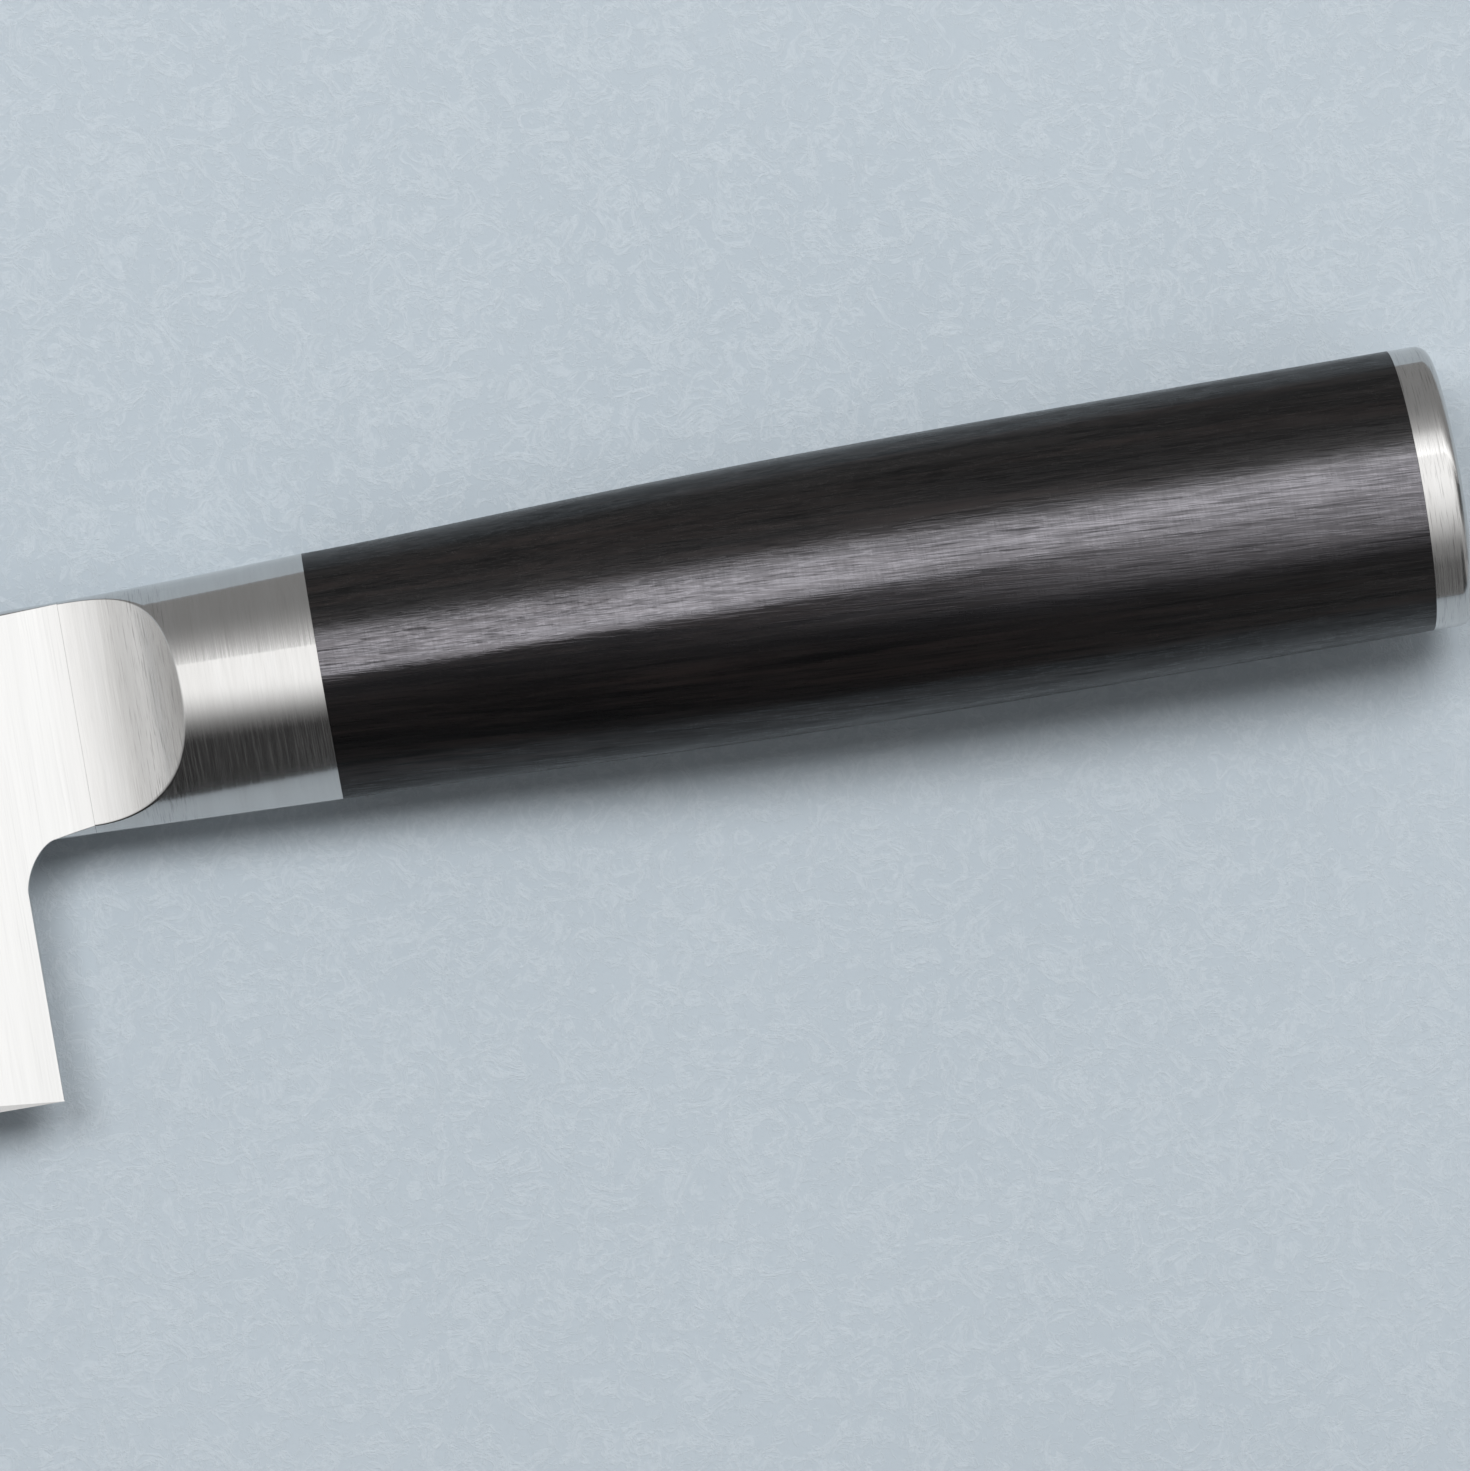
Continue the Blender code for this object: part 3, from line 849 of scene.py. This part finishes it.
# Board: pale blue-grey plaster with fine veins, tilted as little as the knife is when butt and tip both touch
# it. Clouds have their scale and detail, veins their scales and each one's share of the light tone.
board = {
    "reach": 1.5,
    "pastPicture": 0.0715,
    "thickness": 0.012,
    "clearance": 0.00003,
    "plain": (0.515, 0.58, 0.635),
    "light": (0.59, 0.65, 0.70),
    "dark": (0.475, 0.54, 0.595),
    "clouds": (9.0, 3.0),
    "veins": ((260.0, 0.55), (620.0, 0.45)),
    "veinDetail": 4.0,
    "veinRoughness": 0.6,
    "veinDistortion": 1.5,
    "veinMiddle": 0.56,
    "veinReach": 0.06,
    "grit": 1700.0,
    "gritRange": (0.3, 0.5),
    "gritTone": 0.35,
    "gritHeight": 0.6,
    "veinHeight": 0.00004,
    "bump": 0.5,
    "roughness": 0.75,
    "shine": 0.2,
}


def makePlaster(look):
    made, tree, shader, place = newMaterial("plaster")
    clouds = spread(tree, noiseAt(tree, place, *look["clouds"]), *softRange)
    tone = mixColor(tree, clouds, look["dark"], look["plain"])
    heights = []
    winding = look["veinDetail"], look["veinRoughness"], look["veinDistortion"]
    for scale, share in look["veins"]:
        veins = noiseAt(tree, place, scale, *winding)
        crests = crestsOf(tree, veins, look["veinMiddle"], look["veinReach"])
        tone = mixColor(tree, math2(tree, "MULTIPLY", crests, share), tone, look["light"])
        heights.append((crests, 1.0))
    grit = noiseAt(tree, place, look["grit"])
    tone = mixColor(tree, spread(tree, grit, *look["gritRange"], look["gritTone"], 0.0), tone, look["dark"])
    tree.links.new(tone, shader.inputs["Base Color"])
    height = weightedSum(tree, *heights, (grit, look["gritHeight"]))
    inputs = {"Height": height, "Distance": look["veinHeight"], "Strength": look["bump"]}
    tree.links.new(addNode(tree, "ShaderNodeBump", inputs).outputs[0], shader.inputs["Normal"])
    shader.inputs["Roughness"].default_value = look["roughness"]
    shader.inputs["Specular IOR Level"].default_value = look["shine"]
    return made


def makeBoard():
    buttTouch = Vector((buttX - cap["dome"] - cap["rim"], -handle["buttHalfThickness"]))
    tipTouch = Vector((tipX, blade["tipThinning"] - faceZ))
    slope = (tipTouch - buttTouch).y / (tipTouch - buttTouch).x
    right = Vector((*camera["right"], 0.0))
    up = Vector((-right.y, right.x, 0.0))
    aim = Vector((*camera["aim"], 0.0))
    reach, past = board["reach"], board["pastPicture"]
    bm = bmesh.new()
    for depth in (0.0, board["thickness"]):
        for across, along in ((-reach, -reach), (reach, -reach), (reach, past), (-reach, past)):
            corner = aim + right * across + up * along
            corner.z = buttTouch.y + (corner.x - buttTouch.x) * slope - board["clearance"] - depth
            bm.verts.new(corner)
    bmesh.ops.convex_hull(bm, input=bm.verts)
    mesh = meshFrom(bm, "board")
    mesh.transform(toPlace)
    mesh.materials.append(makePlaster(board))
    newObject("board", mesh)


makeBoard()
print("board made")


# Lights. Angles are in degrees from straight up, seen from the knife: across towards +Y, along towards +X.
# Each lamp or screen hangs level and has its limits, its brightness and, if need be, how wide it fades there.
# The lamps light surfaces. The screens are only mirrored: one by all steel, one by the cap, two by the wood,
# since steel throws back so much more that one light would either clip on it or be lost on the wood.
lamps = {
    "leftLamp": {"along": (-27, -5), "across": (10, 33), "glow": 8.65},
    "rightLamp": {"along": (8, 31), "across": (14, 38), "glow": 8.65},
    "fillLamp": {"along": (10, 50), "across": (-30, 0), "glow": 0.9},
}
screens = {
    "steelCeiling": {
        "on": "steel",
        "along": (-66, 60),
        "across": (-26, 23.4),
        "soft": (117, 30, 68, 0.8),
        "glow": 1.46,
    },
    "capStrip": {
        "on": "cap",
        "along": (-30, 30),
        "across": (23.4, 38),
        "soft": (10, 10, 0.8, 10),
        "glow": 0.36,
    },
    "woodCeiling": {
        "on": "wood",
        "along": (-13, 17),
        "across": (-0.5, 28.0),
        "soft": (3, 6, 3, 17),
        "glow": 9.2,
        "tint": (0.95, 0.92, 1.0),
    },
    "woodRight": {
        "on": "wood",
        "along": (6.0, 36),
        "across": (-20.5, -0.5),
        "soft": (5, 12, 47, 3),
        "glow": 9.2,
        "tint": (0.95, 0.92, 1.0),
    },
}
mirrors = {
    "steel": (bladePlate, scoopedBolster, buttCap),
    "cap": (buttCap,),
    "wood": (woodGrip,),
}
lampHeight, screenHeight = 1.2, 6.0
flattest = 82  # the angle at which a screen ends at the latest
perRadian = 180 / math.pi  # degrees


def addLamp(name, lamp, height, soft=(0, 0, 0, 0)):
    (left, right), (near, far) = lamp["along"], lamp["across"]
    limits = (left - soft[0] / 2, right + soft[1] / 2, near - soft[2] / 2, far + soft[3] / 2)
    limits = [min(max(limit, -flattest), flattest) for limit in limits]
    left, right, near, far = [height * math.tan(math.radians(limit)) for limit in limits]
    light = bpy.data.lights.new(name, "AREA")
    light.shape = "RECTANGLE"
    light.size, light.size_y = right - left, far - near
    light.energy = lamp["glow"] * math.pi * light.size * light.size_y
    light.color = lamp.get("tint", (1, 1, 1))
    made = newObject(name, light)
    made.location = axisPlace + Vector(((left + right) / 2, (near + far) / 2, height))
    return made


def softenLamp(light, lamp):
    light.use_nodes = True
    tree = light.node_tree
    place = addNode(tree, "ShaderNodeNewGeometry").outputs["Position"]
    part = partsOf(tree, vectorMath(tree, "SUBTRACT", place, axisPlace))
    limits = [("X", limit) for limit in lamp["along"]] + [("Y", limit) for limit in lamp["across"]]
    shape = 1.0
    for (axis, limit), soft, way in zip(limits, lamp["soft"], (1, -1, 1, -1)):
        angle = math2(tree, "MULTIPLY", math2(tree, "ARCTAN2", part[axis], part["Z"]), perRadian)
        inputs = {"Value": angle, "From Min": limit - way * soft / 2, "From Max": limit + way * soft / 2}
        edge = addNode(tree, "ShaderNodeMapRange", inputs, interpolation_type="SMOOTHSTEP").outputs["Result"]
        shape = math2(tree, "MULTIPLY", edge, shape)
    tree.links.new(shape, tree.nodes["Emission"].inputs["Strength"])


for name, lamp in lamps.items():
    addLamp(name, lamp, lampHeight).visible_glossy = False
receivers = {}
for label, pieces in mirrors.items():
    receivers[label] = bpy.data.collections.new("mirroring " + label)
    for piece in pieces:
        receivers[label].objects.link(piece)
for name, screen in screens.items():
    made = addLamp(name, screen, screenHeight, screen["soft"])
    made.visible_diffuse = False
    made.light_linking.receiver_collection = receivers[screen["on"]]
    softenLamp(made.data, screen)

# The room is dark on the edge side, and behind the spine a pale wall gets dimmer towards the floor. Other
# pale walls stand beyond the blade's tip and, low, at both ends of the edge side, and a low grey one off the
# butt. Where walls begin and are full is given in degrees across, or as the X or Y part of the direction.
room = {
    "dark": 0.03,
    "wallStart": 22.8,
    "wallFrom": 23.8,
    "wallTo": 76,
    "near": 0.95,
    "nearButt": 2.1,
    "brighterFrom": (0.05, 0.12),
    "far": 0.3,
    "fade": 3.5,
    "tipWall": 0.74,
    "tipWallX": (-0.78, -0.99),
    "tipFade": 3.0,
    "sideWall": 0.42,
    "sideWallX": (0.5, 0.65),
    "sideWallY": (-0.15, -0.3),
    "lowGrey": 0.34,
    "lowGreyFromX": (0.06, 0.11),
    "lowGreyToX": (0.28, 0.2),
    "lowGreyY": (-0.6, -0.75),
}


def makeRoom():
    world = bpy.data.worlds.new("room")
    world.use_nodes = True
    tree = world.node_tree
    part = partsOf(tree, addNode(tree, "ShaderNodeTexCoord").outputs["Generated"])
    angle = math2(tree, "MULTIPLY", math2(tree, "ARCTAN2", part["Y"], part["Z"]), perRadian)
    dark, far = room["dark"], room["far"]
    up = math2(tree, "POWER", spread(tree, angle, room["wallFrom"], room["wallTo"], 1.0, 0.0), room["fade"])
    near = spread(tree, part["X"], *room["brighterFrom"], room["near"] - far, room["nearButt"] - far)
    wall = math2(tree, "ADD", math2(tree, "MULTIPLY", up, near), far)
    onWall = spread(tree, angle, room["wallStart"], room["wallFrom"])
    lit = math2(tree, "MULTIPLY", math2(tree, "SUBTRACT", wall, dark), onWall)
    glow = math2(tree, "ADD", lit, dark)

    def brighter(glow, shape, full):
        return math2(tree, "MAXIMUM", glow, math2(tree, "MULTIPLY", shape, full))

    tipWall = math2(tree, "POWER", spread(tree, part["X"], *room["tipWallX"]), room["tipFade"])
    glow = brighter(glow, tipWall, room["tipWall"])
    sideways = spread(tree, math2(tree, "ABSOLUTE", part["X"]), *room["sideWallX"])
    sideWall = math2(tree, "MULTIPLY", sideways, spread(tree, part["Y"], *room["sideWallY"]))
    glow = brighter(glow, sideWall, room["sideWall"])
    lowGrey = spread(tree, part["X"], *room["lowGreyFromX"])
    lowGrey = math2(tree, "MULTIPLY", lowGrey, spread(tree, part["X"], *room["lowGreyToX"]))
    lowGrey = math2(tree, "MULTIPLY", lowGrey, spread(tree, part["Y"], *room["lowGreyY"]))
    glow = brighter(glow, lowGrey, room["lowGrey"])
    tree.links.new(glow, tree.nodes["Background"].inputs["Strength"])
    tree.nodes["Background"].inputs["Color"].default_value = (1, 1, 1, 1)
    bpy.context.scene.world = world


makeRoom()
print("lights made")


def makeCamera():
    lens = bpy.data.cameras.new("camera")
    place = axisPlace + Vector((*camera["foot"], camera["height"]))
    aim = axisPlace + Vector((*camera["aim"], 0.0))
    forward = (aim - place).normalized()
    right = Vector((*camera["right"], 0.0))
    right = (right - forward * right.dot(forward)).normalized()
    up = right.cross(forward)
    lens.lens = lens.sensor_width * (aim - place).length / camera["width"]
    made = newObject("camera", lens)
    made.matrix_world = Matrix.Translation(place) @ Matrix((right, up, -forward)).transposed().to_4x4()
    bpy.context.scene.camera = made


makeCamera()
bpy.context.scene.view_settings.view_transform = "Standard"
